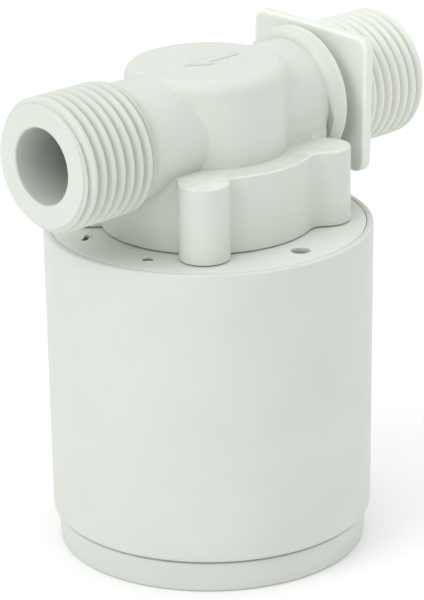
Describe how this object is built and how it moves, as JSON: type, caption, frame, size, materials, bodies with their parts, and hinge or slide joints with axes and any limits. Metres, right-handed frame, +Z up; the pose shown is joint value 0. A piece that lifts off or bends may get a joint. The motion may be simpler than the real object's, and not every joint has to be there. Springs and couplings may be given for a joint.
{
  "type": "float valve",
  "caption": "Pilot-operated float valve: two male threaded ports in line above a closed float cup, with an arrow for flow and a square flange behind the inlet thread.",
  "frame": {"origin": "centre of the flat underside of the base cap, on the axis of the float cup", "axes": "+Z up along the axis of the float cup; +X along the pipe towards the inlet thread, so water flows towards -X"},
  "size_m": [0.0731, 0.052, 0.081],
  "materials": {
    "body_plastic": "satin moulded, off-white with a faint green tint",
    "fitting_plastic": "satin moulded, slightly yellower off-white",
    "cup_plastic": "satin moulded off-white",
    "float_plastic": "satin moulded white",
    "acetal": "smooth acetal",
    "strainer_mesh": "fine moulded plastic",
    "rubber": "matt black rubber",
    "steel": "bright stainless steel"
  },
  "bodies": {
    "housing": {"valve_body": "body_plastic", "inlet_fitting": "fitting_plastic", "inlet_oring": "rubber", "inlet_strainer": "strainer_mesh", "diaphragm": "rubber", "diaphragm_spring": "steel", "bleed_pin": "steel", "pilot_cover": "body_plastic", "body_screw_1": "steel", "body_screw_2": "steel", "body_screw_3": "steel", "body_screw_4": "steel", "chamber_lid": "cup_plastic", "lever_pin": "steel", "float_cup": "cup_plastic", "base_cap": "cup_plastic"},
    "main_valve": {"diaphragm_plate": "acetal", "seat_guide": "acetal"},
    "float": {"float_shell": "float_plastic", "float_cap": "float_plastic", "float_rod": "acetal", "link_pin": "steel"},
    "lever": {"pilot_lever": "acetal", "pilot_pad": "rubber"},
    "drain_valve": {"drain_check": "rubber"}
  },
  "joints": [
    {"name": "main_valve_lift", "type": "slide", "parent": "housing", "child": "main_valve", "axis": [0, 0, -1], "range_m": [0, 0.0022], "stiffness_N_per_m": 120, "springref_m": -0.003, "deforming": ["diaphragm", "diaphragm_spring"]},
    {"name": "float_lift", "type": "slide", "parent": "housing", "child": "float", "axis": [0, 0, 1], "range_m": [0, 0.0071]},
    {"name": "lever_turn", "type": "hinge", "parent": "housing", "child": "lever", "pos_m": [0.0046, 0, 0.045], "axis": [0, 1, 0], "range_deg": [0, 22.9]},
    {"name": "drain_lift", "type": "slide", "parent": "housing", "child": "drain_valve", "axis": [0, 0, 1], "range_m": [0, 0.0011]}
  ],
  "couplings": [
    {"joint": "lever_turn", "follows": "float_lift", "rad_per_m": 56.047}
  ]
}
